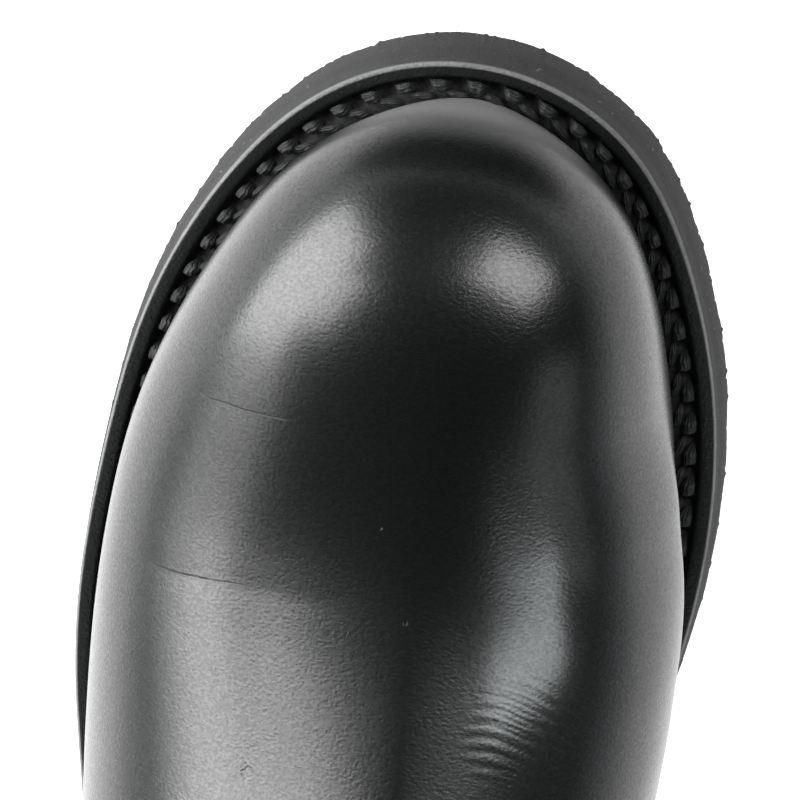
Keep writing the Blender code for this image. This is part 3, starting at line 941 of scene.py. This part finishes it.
def lining_leather():
    """Pores as the height; cloudy noise steers tone and roughness."""
    material, where, _, shader = new_finish("lining_leather")
    pores = noise(where, 900.0, 3.0)
    shade = noise(where, 30.0, 3.0)
    colour = (shade * 0.7 + pores * 0.3).mix(LINING_DARK, LINING_PALE)
    connect(
        shader,
        {"Base Color": colour, "Roughness": 0.62 + shade * 0.2, "Normal": bump(pores, 0.00015)},
        {"Specular IOR Level": 0.35},
    )
    return material


upper.data.materials.append(black_leather())
upper.data.materials.append(lining_leather())
print("upper finished")

# %% [markdown]
# The welt's top is smooth dark leather. Along its trimmed edge a narrow pale line is painted round the
# boot as a painted highlight on the bevel, and below it the cut side is as dull as the rubber. In the sunk
# channel the colour is painted nearly black, as painted shade. The UV map gives the distance from the edge.

# %% Welt and thread
RUBBER_DARK, RUBBER_PALE = (0.010, 0.0103, 0.0103, 1), (0.032, 0.0325, 0.0325, 1)
WELT_DARK, WELT_PALE = (0.0030, 0.0038, 0.0037, 1), (0.0055, 0.0068, 0.0066, 1)
# The channel's near-black is painted shade, and the pale grey is a painted highlight for the welt's edge.
PAINTED_CHANNEL_SHADE, PAINTED_EDGE_GREY = (0.0010, 0.0013, 0.0013, 1), (0.19, 0.19, 0.19, 1)
THREAD_DARK, THREAD_PALE = (0.0015, 0.002, 0.002, 1), (0.018, 0.0215, 0.021, 1)


def dull_rubber(where):
    """Colour and height of dusty rubber: fine sand over cloudy patches."""
    sand = noise(where, 2300.0, 3.0, 0.7)
    clouds = noise(where, 120.0, 3.0)
    tone = clouds * 0.5 + sand.rise(0.3, 0.7) * 0.5
    colour = tone.mix(RUBBER_DARK, RUBBER_PALE)
    return colour, sand * 0.6 + clouds * 0.4


def welt_leather():
    """Bands by the distance from the edge: dull cut side, painted highlight on the edge, smooth top,
    painted shade in the channel.
    """
    material, where, own, shader = new_finish("welt_leather")
    inset = parts(own)[1]
    toe = parts(where)[1].rise(-0.10, -0.15)
    waver = noise(where, 260.0, 2.0)
    fibre = noise(where, 1500.0, 3.0)
    edge = inset.rise(-0.05, 0.2) * (inset - toe * 0.35).rise(0.65, 0.30)
    side = inset.rise(0.15, -0.03)
    # Painted highlight: a pale line along the edge's bevel, broken up by noise and fainter at the toe.
    painted_edge_highlight = edge * (waver * 0.5 + fibre * 0.8 + 0.35) * (1 - toe * 0.35)
    top = fibre.mix(WELT_DARK, WELT_PALE)
    # Painted shade: the top's colour goes nearly black down in the sunk channel.
    sunk = inset.rise(2.9, 3.5)
    channel = sunk.mix(top, PAINTED_CHANNEL_SHADE)
    cut, sand = dull_rubber(where)
    colour = painted_edge_highlight.mix(side.mix(channel, cut), PAINTED_EDGE_GREY)
    rough = 0.48 + edge * 0.1 + side * 0.35 + sunk * 0.25 + (fibre - 0.5) * 0.2
    height = fibre * 0.5 + waver * 0.5 + (sand - fibre * 0.5 - waver * 0.5) * side
    connect(
        shader,
        {"Base Color": colour, "Roughness": rough, "Normal": bump(height, 0.0004)},
        {"Specular IOR Level": 0.35},
    )
    return material


def waxed_thread():
    """Twisted strands: a sine of the way along and the way round, wavered by noise."""
    material, where, own, shader = new_finish("waxed_thread")
    along, around, _ = parts(own)
    lay = (along * (1 / 3.6) + around * 8.0 + noise(where, 420.0) * 2.0) * (2 * np.pi)
    strands = lay.sine() * 0.5 + 0.5
    fibre = noise(where, 2200.0, 2.0)
    colour = (strands * 0.5 + fibre * 0.5).mix(THREAD_DARK, THREAD_PALE)
    relief = bump(strands * 0.6 + fibre * 0.4, 0.00022)
    connect(
        shader,
        {"Base Color": colour, "Roughness": 0.52 + fibre * 0.3, "Normal": relief},
        {"Specular IOR Level": 0.45},
    )
    return material


welt.data.materials.append(welt_leather())
thread_finish = waxed_thread()
stitches.data.materials.append(thread_finish)
bead.data.materials.append(thread_finish)
print("welt and thread finished")

# %% [markdown]
# Moulded rubber is dull and slightly dusty: a fine sandy texture, cloudy grey patches and a few pale specks
# where the mould or the floor has scuffed it. The insole is plain vegetable-tanned leather.

# %% Rubber and insole
SCUFF_GREY = (0.16, 0.16, 0.16, 1)
TAN_DARK, TAN_PALE = (0.24, 0.145, 0.075, 1), (0.36, 0.235, 0.13, 1)


def matt_rubber():
    """Dusty rubber, with pale specks where noise peaks."""
    material, where, _, shader = new_finish("matt_rubber")
    dust_and_painted_sheen, sand = dull_rubber(where)
    specks = noise(where, 900.0, 1.0).rise(0.70, 0.78)
    colour = (specks * 0.7).mix(dust_and_painted_sheen, SCUFF_GREY)
    connect(
        shader,
        {"Base Color": colour, "Roughness": 0.70 + sand * 0.2, "Normal": bump(sand, 0.0005)},
        {"Specular IOR Level": 0.35},
    )
    return material


def tan_leather():
    """Pores as the height; cloudy noise steers tone and roughness."""
    material, where, _, shader = new_finish("tan_leather")
    pores = noise(where, 1100.0, 3.0)
    shade = noise(where, 35.0, 3.0)
    colour = (shade * 0.7 + pores * 0.3).mix(TAN_DARK, TAN_PALE)
    connect(
        shader,
        {"Base Color": colour, "Roughness": 0.6 + shade * 0.2, "Normal": bump(pores, 0.00012)},
        {"Specular IOR Level": 0.4},
    )
    return material


rubber = matt_rubber()
outsole.data.materials.append(rubber)
heel.data.materials.append(rubber)
insole.data.materials.append(tan_leather())
print("rubber and insole finished")

# %% [markdown]
# The boot stands on a plain white floor that fills the whole picture. The floor glows like a light table,
# so that no shadow greys it, as in a product photograph cut out on white. Near the boot it glows more,
# most of all on the outer side: the picture is white there anyway, but the leather's lower edge mirrors
# it as a pale rim.

# %% Floor
FLOOR_MIDDLE, FLOOR_HALF = (0.0, 0.0), (8.0, 8.0)
POOL_MIDDLE, POOL_HALF, POOL_RIM = (0.0, -0.05), (0.40, 0.18), (1.2, 0.5)
GLOW, POOL_GLOW, OUTER_GLOW, OUTER_FROM = 1.0, 0.4, 0.5, (-0.05, 0.12)


def flat_sheet(name, middle, half, height):
    """Level rectangle of one face, which belongs to the studio."""
    mesh = bpy.data.meshes.new(name)
    signs = np.array([(-1, -1), (1, -1), (1, 1), (-1, 1)])
    corners = np.column_stack([np.add(middle, signs * half), np.full(4, height)])
    mesh.from_pydata(corners.tolist(), [], [(0, 1, 2, 3)])
    made = bpy.data.objects.new(name, mesh)
    bpy.context.scene.collection.objects.link(made)
    return made


def glowing_floor():
    """White sheet; an oval round the boot, 1 at its middle and 0 outside, adds to its glow."""
    material, where, _, shader = new_finish("glowing_floor")
    x, y, _ = parts(where)
    pool = oval(x, y, POOL_MIDDLE, POOL_HALF).rise(*POOL_RIM)
    glow = GLOW + pool * (POOL_GLOW + OUTER_GLOW * x.rise(*OUTER_FROM))
    colour = glow.node("CombineXYZ", {}, {0: glow, 1: glow, 2: glow})
    plain = {"Base Color": (0.2, 0.2, 0.2, 1), "Roughness": 0.9, "Specular IOR Level": 0.1}
    connect(shader, {"Emission Color": colour}, {**plain, "Emission Strength": 1.0})
    return material


floor = flat_sheet("floor", FLOOR_MIDDLE, FLOOR_HALF, 0.0)
floor.data.materials.append(glowing_floor())
print("floor", 2 * FLOOR_HALF[0], "m wide")

# %% [markdown]
# Glossy black leather mirrors the floor ahead of it, which would turn the whole front of the toe grey.
# Photographers lay a black card there, just outside the picture, and so does this scene. The card thins out
# towards its rim, so that its reflection has no edge. The camera doesn't see it; only the leather does.

# %% Black card
CARD_MIDDLE, CARD_HALF, CARD_RIM = (0.002, -0.46), (0.172, 0.31), (1.0, 0.72)
CARD_HEIGHT = 0.001


def soft_black():
    """Black oval whose alpha falls from 1 to 0 near its rim."""
    material, where, _, shader = new_finish("black_card")
    x, y, _ = parts(where)
    connect(
        shader,
        {"Alpha": oval(x, y, CARD_MIDDLE, CARD_HALF).rise(*CARD_RIM)},
        {"Base Color": (0.01, 0.01, 0.01, 1), "Roughness": 0.9, "Specular IOR Level": 0.1},
    )
    return material


card = flat_sheet("black_card", CARD_MIDDLE, CARD_HALF, CARD_HEIGHT)
card.visible_camera = False
card.data.materials.append(soft_black())

# %% [markdown]
# Black leather shows hardly anything but what it mirrors, so the lights are placed by their reflections. A
# long low softbox on the outer side draws the bright band along the toe, and two smaller ones widen it over
# the vamp. On the inner side, one softbox gives the spot on the toe. A lamp no bigger than a thumb hangs
# close to the vamp: from so near it lights the swell alone, and not the toe. Two dim ones fill the inner
# side and the back. Overhead stays dark. Each lamp is given by its direction from what it lights and by its
# brightness, from which its power follows: brightness x pi x area.

# %% Lights
FOCUS = Vector((0.0, -0.09, 0.05))
SWELL_FOCUS = Vector((-0.029, -0.068, 0.066))


def softbox(name, azimuth, elevation, distance, width, height, brightness, focus=FOCUS, colour=(1, 1, 1)):
    """Area light towards a focus; azimuth goes from straight ahead of the toe to the outer side."""
    turn, lift = np.radians(azimuth), np.radians(elevation)
    away = Vector((np.sin(turn) * np.cos(lift), -np.cos(turn) * np.cos(lift), np.sin(lift)))
    data = bpy.data.lights.new(name, "AREA")
    data.shape = "RECTANGLE"
    data.size, data.size_y = width, height
    data.energy = brightness * np.pi * width * height
    data.color = colour
    lamp = bpy.data.objects.new(name, data)
    lamp.location = focus + away * distance
    lamp.rotation_euler = (-away).to_track_quat("-Z", "Y").to_euler()
    lamp.visible_camera = False
    bpy.context.scene.collection.objects.link(lamp)
    print(name, "of", round(data.energy, 3), "W")


COOL = (0.95, 1.0, 1.01)
# name, azimuth, elevation, distance, width, height, brightness
softbox("outer_light", 68, 21.5, 1.0, 1.10, 0.62, 10.5)
softbox("outer_upper", 66, 45, 1.0, 0.54, 0.24, 8.5)
softbox("outer_side", 110, 24, 1.0, 0.28, 0.50, 3.0)
softbox("inner_light", -31, 37, 1.1, 0.62, 0.48, 8.0)
softbox("inner_close", -72, 47, 0.028, 0.013, 0.022, 6.2, SWELL_FOCUS, COOL)
softbox("inner_side", -104, 35, 1.1, 0.44, 0.44, 0.9)
softbox("rear", 180, 30, 1.2, 1.00, 0.60, 2.5)

# %% [markdown]
# The room itself is dark overhead and straight ahead of the toe, and paler towards the horizon at the
# sides and behind. The world's own direction gives that: its height, and how far it looks ahead.

# %% Room
ROOM_DARK, ROOM_PALE = (0.04, 0.04, 0.04, 1), (0.69, 0.76, 0.78, 1)
PALE_BELOW, PALE_BEHIND = (0.35, 0.0), (-0.97, -0.70)
world = bpy.data.worlds.new("room")
bpy.context.scene.world = world
world.use_nodes = True
room = Shade(world.node_tree)
_, towards_heel, upwards = parts(room.node("TexCoord", {}, {}, "Generated"))
pale = upwards.rise(*PALE_BELOW) * towards_heel.rise(*PALE_BEHIND)
sky = pale.mix(ROOM_DARK, ROOM_PALE)
world.node_tree.links.new(sky.socket, world.node_tree.nodes["Background"].inputs["Color"])
bpy.context.scene.view_settings.view_transform = "Standard"
print("room from", ROOM_DARK[0], "to", ROOM_PALE[0])

# %% [markdown]
